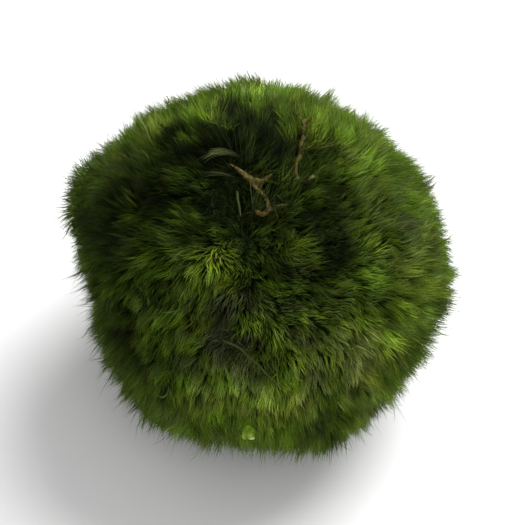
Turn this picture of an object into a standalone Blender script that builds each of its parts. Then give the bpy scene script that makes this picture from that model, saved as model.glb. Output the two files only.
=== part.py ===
"""Marimo moss ball: one felted ball of algae filaments, with scraps of plant caught on it.

The ball's solid is its outer form, out to the filament tips. It rests on a small flat foot.
Metres, +Z up. The origin is on the foot's plane, under the middle of the whole thing.
"""

import math

import bmesh
import bpy
from mathutils import Vector, noise

MM = 0.001

# The ball
BALL_RADIUS = 24.6 * MM
BALL_SUBDIVISIONS = 5
SAG = 0.985
FOOT_BELOW_CENTRE = 23.2 * MM
LUMP_SIZE = 7.0 * MM
LUMP_RISE = 0.55 * MM
TUFT_SIZE = 3.2 * MM
TUFT_RISE = 0.22 * MM
NORMAL_STEP = 0.04

# The show side is the one that the scraps lie on. Its axis leans back from the front by this angle.
SHOW_TILT = math.radians(50)
ACROSS = Vector((1, 0, 0))
UP = Vector((0, math.sin(SHOW_TILT), math.cos(SHOW_TILT)))
TOWARD = Vector((0, -math.cos(SHOW_TILT), math.sin(SHOW_TILT)))

# Swellings and dips: place as across, up and toward in millimetres, then spread and rise.
SWELLINGS = (
    ((-23.0, 10.6, 0.0), 4.0, 2.1),
    ((-20.5, 10.0, 9.5), 5.0, 0.9),
    ((-20.5, 9.5, -10.0), 5.5, 1.1),
    ((22.9, -4.9, 0.0), 5.0, 1.0),
    ((12.0, 20.0, 3.0), 10.0, -1.2),
    ((10.0, -22.9, 0.0), 5.0, 1.9),
    ((-12.6, -21.6, 0.0), 5.0, 1.3),
    ((-24.5, -5.2, 0.0), 5.0, -1.9),
    ((-7.0, 0.5, 23.9), 5.5, 0.5),
    ((6.5, 2.5, 23.8), 4.5, -0.9),
    ((-4.0, -8.5, 23.0), 4.0, -0.6),
    ((9.0, -12.0, 20.0), 6.0, 0.6),
    ((-8.0, 12.0, -20.0), 7.0, 1.0),
    ((12.0, 2.0, -22.0), 6.0, -1.0),
    ((-14.0, -8.0, -18.0), 6.0, 0.9),
)
HOLLOW = ((-2.8, 9.6, 22.8), 4.3, -2.0)

# The scraps of plant lie this far off the ball.
SCRAP_GAP = 0.35 * MM
STEP_ALONG_SCRAP = 1.1 * MM
SKIN_SMOOTHNESS = 0.6
LEAF_HALF_WIDTH = 0.9 * MM
LEAF_HALF_LENGTH = 0.85 * MM
LEAF_THICKNESS = 0.16 * MM
LEAF_STANDS_OFF = 1.05 * MM
LEAF_LEAN = 0.35
LEAF_PLACE = (-1.8, -20.9)
LEAF_NOTCH_DEPTH = 0.32
LEAF_NOTCH_WIDTH = 0.42
LEAF_SIDE_FOLD = 0.45
LEAF_END_CURL = 0.25
LEAF_SEGMENTS = 14
LEAF_RINGS = 6

# Colours, as linear red, green and blue
MOSS_GREEN = (0.035, 0.055, 0.012)
ROOT_TAN = (0.23, 0.15, 0.055)
STRAW = (0.20, 0.19, 0.085)
LIME = (0.26, 0.42, 0.06)


def clear_scene():
    for obj in list(bpy.data.objects):
        bpy.data.objects.remove(obj, do_unlink=True)


def make_material(name, colour, roughness):
    material = bpy.data.materials.new(name)
    material.use_nodes = True
    shader = material.node_tree.nodes["Principled BSDF"]
    shader.inputs["Base Color"].default_value = (*colour, 1.0)
    shader.inputs["Roughness"].default_value = roughness
    shader.inputs["Metallic"].default_value = 0.0
    return material


def add_object(name, mesh, material):
    obj = bpy.data.objects.new(name, mesh)
    mesh.materials.append(material)
    bpy.context.scene.collection.objects.link(obj)
    return obj


def show_direction(across, up, toward):
    return (ACROSS * across + UP * up + TOWARD * toward).normalized()


def facing_direction(across, up):
    """The direction of a place on the half of the ball that is on the show side, in millimetres."""
    radius = BALL_RADIUS / MM
    toward = math.sqrt(max(radius**2 - across**2 - up**2, 0.0))
    return show_direction(across, up, toward)


def swelling_height(direction, place, spread, rise):
    """A round swelling, highest at its place and gone about three spreads away."""
    away = direction.angle(show_direction(*place)) * BALL_RADIUS / MM
    return rise * MM * math.exp(-((away / spread) ** 2) / 2)


def ball_radius(direction):
    radius = BALL_RADIUS
    for place, spread, rise in SWELLINGS + (HOLLOW,):
        radius += swelling_height(direction, place, spread, rise)
    radius += LUMP_RISE * noise.noise(direction * BALL_RADIUS / LUMP_SIZE)
    radius += TUFT_RISE * noise.noise(direction * BALL_RADIUS / TUFT_SIZE)
    return radius


def ball_point(direction):
    """The point of the ball's surface in this direction from its middle."""
    point = direction * ball_radius(direction)
    point.z *= SAG
    return point


def ball_normal(direction):
    """The way that the ball's surface faces there, from two short steps along it."""
    side = direction.orthogonal().normalized() * NORMAL_STEP
    other = direction.cross(side)
    here = ball_point(direction)
    along_side = ball_point((direction + side).normalized()) - here
    along_other = ball_point((direction + other).normalized()) - here
    return along_side.cross(along_other).normalized()


def place_on_ball(across, up, lift):
    """A point that stands off the surface by this much, at a place on the show side in millimetres."""
    direction = facing_direction(across, up)
    return ball_point(direction) + ball_normal(direction) * lift


def make_moss_ball(material):
    bm = bmesh.new()
    bmesh.ops.create_icosphere(bm, subdivisions=BALL_SUBDIVISIONS, radius=1.0)
    for vert in bm.verts:
        vert.co = ball_point(vert.co.normalized())
    everything = bm.verts[:] + bm.edges[:] + bm.faces[:]
    cut = bmesh.ops.bisect_plane(
        bm,
        geom=everything,
        dist=1e-6,
        plane_co=(0, 0, -FOOT_BELOW_CENTRE),
        plane_no=(0, 0, 1),
        clear_inner=True,
    )
    rim = [part for part in cut["geom_cut"] if isinstance(part, bmesh.types.BMEdge)]
    bmesh.ops.contextual_create(bm, geom=rim)
    bm.normal_update()
    bmesh.ops.recalc_face_normals(bm, faces=bm.faces[:])
    mesh = bpy.data.meshes.new("moss_ball")
    bm.to_mesh(mesh)
    bm.free()
    mesh.shade_smooth()
    return add_object("moss_ball", mesh, material)


def rounded_route(stops):
    """Points a short step apart on a smooth curve through the stops, of the same kind as the stops."""
    points = []
    ends = [stops[0]] + list(stops) + [stops[-1]]
    for before, start, end, after in zip(ends, ends[1:], ends[2:], ends[3:]):
        length = math.dist(start[:2], end[:2]) * MM
        steps = max(round(length / STEP_ALONG_SCRAP), 1)
        for step in range(steps):
            points.append(catmull_rom(before, start, end, after, step / steps))
    points.append(tuple(stops[-1]))
    return points


def catmull_rom(before, start, end, after, part):
    weights = (
        -part + 2 * part**2 - part**3,
        2 - 5 * part**2 + 3 * part**3,
        part + 4 * part**2 - 3 * part**3,
        -(part**2) + part**3,
    )
    return tuple(
        sum(weight * number for weight, number in zip(weights, numbers)) / 2
        for numbers in zip(before, start, end, after)
    )


def make_twig(name, routes, material):
    """A twig of one or more branches. Each stop is across, up, height off the gap and radius, in millimetres.

    A branch that starts at a stop of an earlier branch grows out of it.
    """
    bm = bmesh.new()
    skin = bm.verts.layers.skin.verify()
    joined = {}
    for route in routes:
        previous = None
        for across, up, height, radius in rounded_route(route):
            key = (round(across, 3), round(up, 3))
            vert = joined.get(key)
            if vert is None:
                lift = SCRAP_GAP + (height + radius) * MM
                vert = bm.verts.new(place_on_ball(across, up, lift))
                vert[skin].radius = (radius * MM, radius * MM)
                vert[skin].use_root = not joined
                joined[key] = vert
            if previous is not None:
                bm.edges.new((previous, vert))
            previous = vert
    mesh = bpy.data.meshes.new(name)
    bm.to_mesh(mesh)
    bm.free()
    obj = add_object(name, mesh, material)
    wrap = obj.modifiers.new("Skin", "SKIN")
    wrap.branch_smoothing = SKIN_SMOOTHNESS
    wrap.use_smooth_shade = True
    rounding = obj.modifiers.new("Subdivision", "SUBSURF")
    rounding.levels = 1
    rounding.render_levels = 1
    return obj


def make_forked_rootlet(material):
    knot = (-0.9, 11.4, 0.15, 0.62)
    heel = (1.2, 7.2, 0.3, 0.42)
    routes = (
        ((-4.1, 13.5, 0.1, 0.12), (-3.2, 13.0, 0.35, 0.18), (-2.2, 12.3, 0.35, 0.36), knot),
        (knot, (0.6, 11.3, 0.4, 0.4), (1.7, 11.9, 0.7, 0.14)),
        (knot, (-0.3, 10.3, 0.2, 0.26), (0.6, 9.5, 0.3, 0.2), (1.1, 8.4, 0.5, 0.24), heel),
        (heel, (2.3, 7.5, 1.0, 0.16), (3.3, 7.5, 1.4, 0.11)),
        (heel, (0.9, 6.7, 0.4, 0.44), (0.1, 6.7, 0.4, 0.32), (-0.8, 7.2, 0.4, 0.14)),
    )
    return make_twig("forked_rootlet", routes, material)


def make_curved_rootlet(material):
    crown = (5.4, 18.5, 0.4, 0.22)
    routes = (
        ((4.1, 19.4, 0.7, 0.11), crown),
        ((6.4, 18.9, 0.8, 0.11), crown),
        (
            crown,
            (5.5, 16.7, 0.1, 0.26),
            (5.2, 15.6, 0.1, 0.42),
            (5.1, 14.3, 0.3, 0.33),
            (4.5, 13.2, 0.4, 0.31),
            (4.6, 12.0, 0.4, 0.28),
            (5.1, 11.2, 0.4, 0.22),
            (5.8, 10.9, 0.5, 0.18),
            (6.3, 11.1, 0.8, 0.17),
            (6.9, 11.5, 1.1, 0.13),
        ),
    )
    return make_twig("curved_rootlet", routes, material)


def make_straws(material):
    thread = (
        (-4.8, -9.6, 0.0, 0.1),
        (-3.8, -9.9, 0.15, 0.15),
        (-2.6, -10.5, 0.25, 0.15),
        (-0.8, -12.1, 0.25, 0.14),
        (0.7, -13.5, 0.2, 0.14),
        (2.0, -14.9, 0.1, 0.13),
        (2.4, -15.5, 0.1, 0.1),
    )
    chip = (
        (-3.4, 10.4, 0.2, 0.12),
        (-3.3, 9.1, 0.35, 0.17),
        (-3.0, 7.7, 0.3, 0.15),
        (-2.8, 6.4, 0.2, 0.1),
    )
    make_twig("straw_thread", (thread,), material)
    make_twig("short_straw", (chip,), material)


def make_lime_leaf(material):
    """A heart-shaped leaf, folded up along its middle, that stands out towards the show side."""
    middle = facing_direction(*LEAF_PLACE)
    face = (ball_normal(middle) * LEAF_LEAN + TOWARD).normalized()
    across = UP.cross(face).normalized()
    down = across.cross(face).normalized()
    base = ball_point(middle) + ball_normal(middle) * LEAF_STANDS_OFF
    bm = bmesh.new()
    bmesh.ops.create_uvsphere(bm, u_segments=LEAF_SEGMENTS, v_segments=LEAF_RINGS, radius=1.0)
    for vert in bm.verts:
        turn = math.atan2(vert.co.x, -vert.co.y)
        notch = 1.0 - LEAF_NOTCH_DEPTH * math.exp(-(((math.pi - abs(turn)) / LEAF_NOTCH_WIDTH) ** 2))
        wide = vert.co.x * LEAF_HALF_WIDTH * notch
        tall = vert.co.y * LEAF_HALF_LENGTH * notch
        fold = LEAF_SIDE_FOLD * abs(wide) + LEAF_END_CURL * max(tall, 0.0)
        vert.co = base + across * wide - down * tall + face * (fold + vert.co.z * LEAF_THICKNESS)
    bm.normal_update()
    bmesh.ops.recalc_face_normals(bm, faces=bm.faces[:])
    mesh = bpy.data.meshes.new("lime_leaf")
    bm.to_mesh(mesh)
    bm.free()
    mesh.shade_smooth()
    return add_object("lime_leaf", mesh, material)


def stand_on_floor():
    """Moves all pieces so that the foot is at height 0 and the middle of them all is over the origin."""
    graph = bpy.context.evaluated_depsgraph_get()
    corners = [corner for obj in bpy.data.objects for corner in obj.evaluated_get(graph).bound_box]
    low = Vector(min(corner[axis] for corner in corners) for axis in range(3))
    high = Vector(max(corner[axis] for corner in corners) for axis in range(3))
    middle = (low + high) / 2
    middle.z = low.z
    for obj in bpy.data.objects:
        obj.location = -middle


def main():
    clear_scene()
    moss = make_material("moss", MOSS_GREEN, 0.8)
    root = make_material("rootlet", ROOT_TAN, 0.6)
    straw = make_material("straw", STRAW, 0.6)
    leaf = make_material("leaf", LIME, 0.4)
    make_moss_ball(moss)
    make_forked_rootlet(root)
    make_curved_rootlet(root)
    make_straws(straw)
    make_lime_leaf(leaf)
    stand_on_floor()


main()
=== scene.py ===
import math

import bmesh
import bpy
import numpy as np
from bpy.props import FloatProperty, FloatVectorProperty, IntProperty, PointerProperty
from mathutils import Matrix, Vector, noise
from mathutils.bvhtree import BVHTree
from mathutils.kdtree import KDTree


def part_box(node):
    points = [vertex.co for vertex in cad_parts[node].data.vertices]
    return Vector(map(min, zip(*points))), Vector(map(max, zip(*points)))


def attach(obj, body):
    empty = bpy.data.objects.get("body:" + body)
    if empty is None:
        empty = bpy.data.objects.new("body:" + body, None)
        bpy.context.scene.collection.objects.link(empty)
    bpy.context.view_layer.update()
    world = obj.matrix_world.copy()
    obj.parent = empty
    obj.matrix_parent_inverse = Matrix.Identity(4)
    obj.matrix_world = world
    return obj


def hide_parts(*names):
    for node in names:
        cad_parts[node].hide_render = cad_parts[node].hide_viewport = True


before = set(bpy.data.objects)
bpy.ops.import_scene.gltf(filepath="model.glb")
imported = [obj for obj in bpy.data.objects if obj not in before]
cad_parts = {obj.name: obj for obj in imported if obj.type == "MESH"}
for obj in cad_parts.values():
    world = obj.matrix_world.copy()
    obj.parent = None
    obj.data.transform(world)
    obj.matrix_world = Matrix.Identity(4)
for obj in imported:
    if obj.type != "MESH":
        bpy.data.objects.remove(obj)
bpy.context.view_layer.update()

bl_info = {
    "name": "Marimo moss ball",
    "version": (1, 0, 0),
    "blender": (4, 5, 0),
    "location": "3D View > Sidebar > Moss ball",
    "description": "Grows the filaments of a moss ball over its solid and dresses the scraps caught in it",
    "category": "Add Mesh",
}

MM = 0.001
BODY = "root"
BALL_NODE = "moss_ball"
HELD_SCRAPS = ("forked_rootlet", "curved_rootlet", "short_straw", "straw_thread", "lime_leaf")
BALL_LOW, BALL_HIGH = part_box(BALL_NODE)
BALL_WIDTH = BALL_HIGH.x - BALL_LOW.x
FOOT_BELOW_MIDDLE = 23.2 * MM
BALL_MIDDLE = Vector(((BALL_LOW.x + BALL_HIGH.x) / 2, (BALL_LOW.y + BALL_HIGH.y) / 2, FOOT_BELOW_MIDDLE))

# Attributes of every filament mesh. The first holds how far along its filament a point lies, the
# filament's own random number and its tint. The second holds the coat's brightness, which carries
# painted shade in places, its yellowness and silt.
FIBRE = "fibre"
GROWTH = "growth"

# The show side is the one that the scraps lie on. Its axis leans back from the front by this angle.
SHOW_TILT = math.radians(50)
ACROSS = Vector((1, 0, 0))
UP = Vector((0, math.sin(SHOW_TILT), math.cos(SHOW_TILT)))
TOWARD = Vector((0, -math.cos(SHOW_TILT), math.sin(SHOW_TILT)))


def show_direction(across, up, toward):
    """The direction from the ball's middle to a place given across, up and toward the show side."""
    return (ACROSS * across + UP * up + TOWARD * toward).normalized()


# ---------------------------------------------------------------- the coat, place by place

# Places are across, up and toward the show side from the ball's middle. Spreads say how far round them
# a change reaches. Both are in millimetres.

# The hollow that the scraps lie in, and the share of its length that a filament loses there. The coat
# lies away from the hollow, and turns round it out to this many radians.
HOLLOW = (-3.2, 8.6, 23.0)
HOLLOW_REACH = 4.2
HOLLOW_CUT = 0.6
CROWN = show_direction(*HOLLOW)
SWIRL_REACH = 0.7

# Where the coat lies down in long locks: place and spread. Elsewhere it is a shorter, steeper pile.
SWEPT = (
    ((0.0, 11.0, 21.0), 12.0),
    ((-14.0, 6.0, -18.0), 9.0),
    ((15.0, -8.0, -16.0), 8.0),
    ((-20.0, 8.0, 6.0), 8.0),
)

# The front of the ball below the scraps, where the coat is a short, steep plush: place and spread, the
# share of its length that a filament loses, the part of that by which its root is raised, how much more it
# leans, how much evener its tones are, and its doublings of brightness
PLUSH = ((2.0, -14.0, 20.0), 17.0)
PLUSH_CUT = 0.24
PLUSH_RAISED = 0.6
PLUSH_LEAN = math.radians(-13)
PLUSH_CALM = 0.15
PLUSH_DOUBLINGS = 0.1

# The part round the hollow, where dark and fresh locks lie mixed, and how much more their tones differ
SHADED = ((-5.0, 12.0, 20.5), 12.0)
SHADED_CONTRAST = 1.1

# Where the coat stands higher or lower than elsewhere: place, spread and rise in millimetres
RISES = (
    ((0.9, 24.6, 0.0), 4.5, 0.7),
    ((-24.2, 4.3, 0.0), 4.0, 0.8),
    ((-22.1, 10.8, 0.0), 4.0, 1.0),
    ((-17.1, 17.7, 0.0), 4.0, 0.8),
    ((22.5, -10.0, 0.0), 4.0, -0.8),
    ((17.4, -17.4, 0.0), 4.0, -0.5),
    ((-2.1, -24.5, 0.0), 5.0, -1.0),
    ((-1.7, -20.3, 13.6), 1.3, -0.45),
    ((8.0, 21.4, 8.5), 2.2, -0.8),
)

# How the coat's colour varies. Each patch has a place, its spread, how many doublings of brightness it
# adds, and how far it turns to yellow and to silty grey.
PATCHES = (
    # The hollow, and the dark growth above and beside it: partly dark growth, partly painted shade
    ((-4.2, 8.0, 22.9), 4.5, -3.1, 0.0, 0.2),
    ((-3.9, 16.0, 18.0), 5.5, -4.6, 0.0, 0.0),
    ((3.0, 15.0, 19.0), 4.0, -2.6, 0.0, 0.1),
    ((-12.0, 13.0, 17.0), 5.5, -2.0, 0.0, 0.0),
    ((-15.9, 10.2, 15.8), 3.0, 0.7, 0.0, 0.0),
    ((6.2, 2.1, 23.7), 5.5, -3.3, 0.0, 0.1),
    ((4.2, 9.6, 22.2), 2.8, -0.9, 0.0, 0.0),
    ((8.0, 10.5, 20.5), 4.5, -2.0, 0.0, 0.0),
    # Painted shade on the left side
    ((-19.5, 5.5, 14.0), 8.0, -2.3, 0.0, 0.1),
    ((-18.0, -10.0, 13.5), 6.0, -1.8, 0.0, 0.1),
    # The bright tuft near the middle, and what lies left of it
    ((-6.5, 0.0, 23.6), 4.5, 0.8, 0.2, 0.0),
    ((-16.9, -4.0, 17.4), 3.0, 0.5, 0.0, 0.0),
    ((-10.5, -1.5, 22.2), 2.8, -0.5, 0.0, 0.0),
    # The silty patch below it, and the yellowed front
    ((-4.7, -9.0, 22.4), 4.2, -0.6, 0.1, 0.8),
    ((-5.5, -15.0, 18.8), 5.5, 0.75, 0.1, 0.25),
    ((2.0, -17.0, 17.5), 4.0, 1.45, 0.5, 0.2),
    ((10.7, -11.5, 18.9), 6.5, 1.05, 0.38, 0.4),
    # The right side, and round the leaf
    ((21.8, 0.0, 11.4), 5.0, 0.2, 0.15, 0.0),
    ((-1.9, -20.0, 13.0), 1.8, 0.9, 0.1, 0.0),
    ((13.3, 14.5, 14.8), 5.0, 0.45, 0.0, 0.0),
    ((19.0, 4.0, 15.0), 3.5, -0.7, 0.1, 0.6),
    ((14.5, 7.0, 18.4), 4.5, -0.6, 0.0, 0.0),
    # The upper edge, and the lower right one
    ((-16.6, 15.4, 9.5), 5.0, 0.3, 0.0, 0.0),
    ((-10.5, 19.5, 10.5), 3.5, 0.5, 0.15, 0.0),
    ((0.0, 23.5, 7.0), 5.0, 0.2, 0.0, 0.0),
    ((-4.0, 20.2, 13.4), 3.2, -0.9, 0.0, 0.0),
    ((5.0, 20.5, 12.4), 3.0, -0.5, 0.0, 0.0),
    ((7.3, 16.9, 16.0), 2.0, 0.9, 0.35, 0.0),
    ((14.6, -17.6, 8.4), 4.0, 0.55, 0.25, 0.2),
    # The back and the underside
    ((6.0, -4.0, -23.0), 9.0, 0.5, 0.0, 0.0),
    ((-15.0, -14.0, -12.0), 8.0, -0.8, 0.3, 0.3),
    ((16.0, 14.0, -12.0), 8.0, 0.6, 0.0, 0.0),
    ((-12.0, 8.0, -19.0), 8.0, -1.2, 0.5, 0.0),
    ((14.0, -12.0, -16.0), 6.0, -1.0, 0.0, 0.5),
    ((2.0, 20.0, -14.0), 6.0, -0.9, 0.2, 0.2),
)

# Slow changes all over the ball: how strong, over what distance in millimetres, and the seed
COMB_BENDS = ((0.5, 17.0, 11), (0.3, 7.0, 31))
MOUNDS = ((0.09, 5.0, 41),)
PATCH_EDGES = ((0.060, 5.5, 51), (0.035, 2.4, 61))
BRIGHTNESS_DRIFT = ((0.20, 8.0, 5), (0.26, 3.2, 6))
YELLOW_DRIFT = ((0.12, 7.0, 7), (0.08, 2.5, 9))
SILT_DRIFT = ((0.12, 5.0, 8), (0.10, 2.0, 10))
# How far the whole coat is yellowed, how far it is combed downwards, and within what share of the radius
# about the crown the combing away from the crown weakens
YELLOW_EVERYWHERE = 0.05
COMB_DROOP = 0.15
CROWN_CORE = 0.35

# How single filaments differ: their length and wobble as shares of the length, and their lean in radians
STRAND_LENGTHS = 0.1
STRAND_WOBBLE = 0.05
STRAND_LEANS = 0.08
# How much longer a swept filament is, how much of its lean it has at the root, how late it gathers, how
# much thinner it gets towards the tip, and the thinnest and thickest as shares of the usual thickness
SWEPT_EXTRA = 0.25
ROOT_LEAN_SHARE = 0.3
GATHER_CURVE = 1.3
TAPER = 0.35
THICKNESSES = (0.7, 1.3)
# How locks and wisps differ: how unevenly they are spaced, their sway as a share of the combing, their
# length, their lean in radians and their doublings of brightness. A filament at the edge of its lock is
# darker by some doublings, partly dirt and partly painted shade where it lies deeper, and its tint is
# shared between lock and wisp.
LOCK_JITTER = 0.9
LOCK_SWAY = 0.38
WISP_SWAY = 0.22
LOCK_LENGTHS = 0.13
LOCK_LENGTH_LIMITS = (0.65, 1.35)
LOCK_LEANS = 0.14
LOCK_DOUBLINGS = 0.24
LOCK_EDGE_SHADE = 0.7
LOCK_TINT_SHARE = 0.6
# Lowest and highest that a pressed filament lies over the floor, in millimetres, and how far it is spread
# outwards as a share of how far it is lifted
LYING_HEIGHTS = (0.04, 0.5)
LYING_SPLAY = 0.5
# The felt's lumps: their size and height, and how often it is smoothed first
FELT_LUMPS = 1.6 * MM
FELT_LUMP_HEIGHT = 0.28 * MM
FELT_SMOOTHINGS = 3

# ---------------------------------------------------------------- the scraps

# How far each scrap has sunk among the filament tips, in millimetres
SCRAP_SINK = {
    "forked_rootlet": 0.95,
    "curved_rootlet": 1.0,
    "straw_thread": 0.6,
    "short_straw": 0.9,
    "lime_leaf": 0.6,
}
# The length of a scrap's ups and downs
DIP_SIZE = 1.5 * MM
# How long the filaments beside the scraps and the stray ones are, against the others, and how thick
CROSSING_SHARE = 1.6
STRAY_SHARE = 1.35
STRAY_THINNESS = 0.7

# Bundles of bleached filaments: stops across, up and high over the coat, how many filaments, how far in
# millimetres they spread, and their tone
PALE_WISPS = (
    (((-2.9, 14.6, -0.5), (-4.9, 14.9, 0.1), (-6.7, 14.5, 0.4), (-8.2, 13.6, 0.4)), 34, 0.20, 1.3),
    (((-3.4, 11.9, -0.5), (-5.9, 12.2, 0.0), (-8.8, 11.7, 0.0)), 12, 0.16, 0.55),
    (((-12.2, -15.8, 0.1), (-12.2, -16.7, 0.5), (-12.8, -17.2, 0.5), (-13.5, -17.1, 0.2)), 6, 0.05, 1.3),
    (((5.9, 10.7, 0.4), (6.3, 11.0, 0.8), (6.6, 11.2, 0.9), (7.0, 11.3, 0.7)), 7, 0.08, 1.8),
    (((1.3, 7.3, 0.2), (2.0, 7.4, 0.7), (2.7, 7.4, 0.9), (3.3, 7.4, 0.8)), 5, 0.05, 1.0),
)
# Places along a bundle's route, and stops of each filament in it
BUNDLE_STEPS = 25
STRAND_STOPS = 6

# The leaf's lobes: middle across and up from the leaf's own, half width, half length, turn and tilt to
# the right, and how far the edge rises over the middle
LEAF_LOBES = (
    ((0.18, 0.12), 0.80, 0.86, 0.25, -0.15, 0.38),
    ((0.40, -0.50), 0.56, 0.30, -0.12, 0.25, -0.16),
    ((-0.42, -0.38), 0.36, 0.46, 0.9, -0.3, -0.20),
)
# A lobe's thickness in millimetres, its crease and its narrowing to the top as shares of its half width,
# the size and height of its skin's grain, and how finely it is divided
LEAF_THICKNESS = 0.08
LEAF_CREASE_DEPTH = 0.08
LEAF_CREASE_WIDTH = 0.18
LEAF_NARROWING = 0.2
LEAF_GRAIN = 0.2 * MM
LEAF_ROUGHNESS = 0.018 * MM
LEAF_SEGMENTS = 32
LEAF_RINGS = 18
# How far the leaf leans, and how far down the coat it has slid, in millimetres
LEAF_LEAN = math.radians(12)
LEAF_SLIP = 0.5
# Painted highlight on its pale lip and, fainter, on the left lobe's lighter end: where they lie across and
# up from its middle in millimetres, and the highlight's colour
LEAF_LIP_HIGHLIGHT = (0.45, -0.50)
LEAF_LEFT_HIGHLIGHT = (-0.45, -0.40)
LEAF_HIGHLIGHT_COLOUR = (0.62, 0.74, 0.24)

# ---------------------------------------------------------------- the studio

# Lights' places from the ball's middle, and their widths
KEY_PLACE = Vector((0.22, 0.20, 0.42))
KEY_WIDTH = 0.42
FILL_PLACE = Vector((0.15, -0.45, 0.40))
FILL_WIDTH = 0.50
FLOOR_TONES = ((0.80, 0.80, 0.80), (0.84, 0.84, 0.84))
FLOOR_CLOUD = 40 * MM


# ---------------------------------------------------------------- settings


class MossFurSettings(bpy.types.PropertyGroup):
    """The felt and the filaments"""

    felt_depth: FloatProperty(
        name="Felt depth",
        description="How far the felt lies under the filament tips",
        default=2.5 * MM,
        unit="LENGTH",
    )
    tuft_count: IntProperty(
        name="Tuft filaments",
        description="Filaments in the long coat",
        default=46000,
        min=1000,
    )
    pile_count: IntProperty(
        name="Pile filaments",
        description="Straight filaments in the dense pile that the long coat lies on",
        default=109000,
        min=1000,
    )
    tuft_length: FloatProperty(
        name="Tuft length",
        description="Length of a filament of the long coat",
        default=3.1 * MM,
        unit="LENGTH",
    )
    filament_radius: FloatProperty(
        name="Filament radius",
        description="Half the thickness of a filament near its root",
        default=0.047 * MM,
        unit="LENGTH",
    )
    root_lean: FloatProperty(
        name="Lean at the root",
        description="How far a filament leans from upright where it leaves the felt",
        default=math.radians(16),
        subtype="ANGLE",
    )
    tip_lean: FloatProperty(
        name="Lean at the tip",
        description="How far a filament leans from upright at its tip",
        default=math.radians(48),
        subtype="ANGLE",
    )
    swept_lean: FloatProperty(
        name="Swept lean",
        description="How far the tip of a filament leans from upright where the coat lies down in locks",
        default=math.radians(74),
        subtype="ANGLE",
    )
    lock_spacing: FloatProperty(
        name="Lock spacing",
        description="Distance between the broad locks that the filaments fall into",
        default=2.4 * MM,
        unit="LENGTH",
    )
    wisp_spacing: FloatProperty(
        name="Wisp spacing",
        description="Distance between the fine wet points that the filaments gather into",
        default=0.75 * MM,
        unit="LENGTH",
    )
    wisp_pull: FloatProperty(
        name="Wisp pull",
        description="How closely the tips of a wisp gather, from 0 to 1",
        default=0.44,
        subtype="FACTOR",
    )
    lock_pull: FloatProperty(
        name="Lock pull",
        description="How closely the tips of a lock gather, from 0 to 1",
        default=0.14,
        subtype="FACTOR",
    )
    swirl: FloatProperty(
        name="Swirl",
        description="How far the coat turns round the crown as it lies away from it",
        default=0.8,
    )
    crossing_count: IntProperty(
        name="Crossing filaments",
        description="Filaments beside the scraps that lean over them and hold them",
        default=1100,
        min=0,
    )
    stray_count: IntProperty(
        name="Stray filaments",
        description="Thin lone filaments that stand out of the coat",
        default=2200,
        min=0,
    )


class MossColourSettings(bpy.types.PropertyGroup):
    """Colours of the growth and the scraps"""

    deep: FloatVectorProperty(
        name="Deep green",
        description="Roots and felt, in the shade of the coat",
        subtype="COLOR",
        default=(0.004, 0.008, 0.002),
    )
    moss: FloatVectorProperty(
        name="Moss green",
        description="The coat's usual green",
        subtype="COLOR",
        default=(0.058, 0.108, 0.0070),
    )
    bright: FloatVectorProperty(
        name="Bright green",
        description="Fresh growth at the tips",
        subtype="COLOR",
        default=(0.112, 0.205, 0.0100),
    )
    olive: FloatVectorProperty(
        name="Olive",
        description="Yellowed growth",
        subtype="COLOR",
        default=(0.190, 0.205, 0.018),
    )
    grey: FloatVectorProperty(
        name="Grey brown",
        description="Dull, silted growth",
        subtype="COLOR",
        default=(0.100, 0.108, 0.052),
    )
    pale: FloatVectorProperty(
        name="Pale filament",
        description="Bleached single filaments",
        subtype="COLOR",
        default=(0.240, 0.280, 0.110),
    )
    bark: FloatVectorProperty(
        name="Rootlet",
        description="Tan bark of the rootlets",
        subtype="COLOR",
        default=(0.068, 0.056, 0.015),
    )
    rust: FloatVectorProperty(
        name="Rust",
        description="Orange blots on the bark",
        subtype="COLOR",
        default=(0.115, 0.066, 0.012),
    )
    straw: FloatVectorProperty(
        name="Straw",
        description="Dry stalks",
        subtype="COLOR",
        default=(0.044, 0.048, 0.015),
    )
    lime: FloatVectorProperty(
        name="Lime leaf",
        description="The tiny leaf",
        subtype="COLOR",
        default=(0.170, 0.300, 0.010),
    )


class MossStageSettings(bpy.types.PropertyGroup):
    """The floor, the camera and the lights"""

    floor_size: FloatProperty(
        name="Floor size",
        description="Width of the floor",
        default=3.0,
        unit="LENGTH",
    )
    camera_distance: FloatProperty(
        name="Camera distance",
        description="From the camera to the middle of the ball",
        default=0.42,
        unit="LENGTH",
    )
    frame_share: FloatProperty(
        name="Share of the frame",
        description="How much of the picture's width the ball fills",
        default=0.74,
        subtype="FACTOR",
    )
    key_power: FloatProperty(
        name="Key light",
        description="Power of the high light behind the right shoulder",
        default=4.2,
        unit="POWER",
    )
    fill_power: FloatProperty(
        name="Fill light",
        description="Power of the broad light in front",
        default=0.8,
        unit="POWER",
    )
    sky: FloatProperty(
        name="Room light",
        description="Strength of the even light from all round",
        default=0.6,
    )


# ---------------------------------------------------------------- mesh helpers


def add_piece(name, mesh, material, nodes):
    """Puts a finished mesh in the scene as a piece that stands for these nodes of the solid model."""
    obj = bpy.data.objects.new(name, mesh)
    mesh.materials.append(material)
    bpy.context.scene.collection.objects.link(obj)
    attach(obj, BODY)
    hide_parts(*nodes)
    return obj


def merged_copy(node):
    """The solid of a node as a bmesh whose loose triangles are joined up."""
    bm = bmesh.new()
    bm.from_mesh(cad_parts[node].data)
    bmesh.ops.remove_doubles(bm, verts=bm.verts[:], dist=1e-6)
    bm.normal_update()
    return bm


def finished_mesh(name, bm):
    """A smooth-shaded mesh made from a bmesh, which it frees."""
    mesh = bpy.data.meshes.new(name)
    bm.to_mesh(mesh)
    bm.free()
    mesh.shade_smooth()
    return mesh


def unit(vectors):
    """Each row at length 1."""
    return vectors / np.maximum(np.linalg.norm(vectors, axis=1, keepdims=True), 1e-12)


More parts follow.
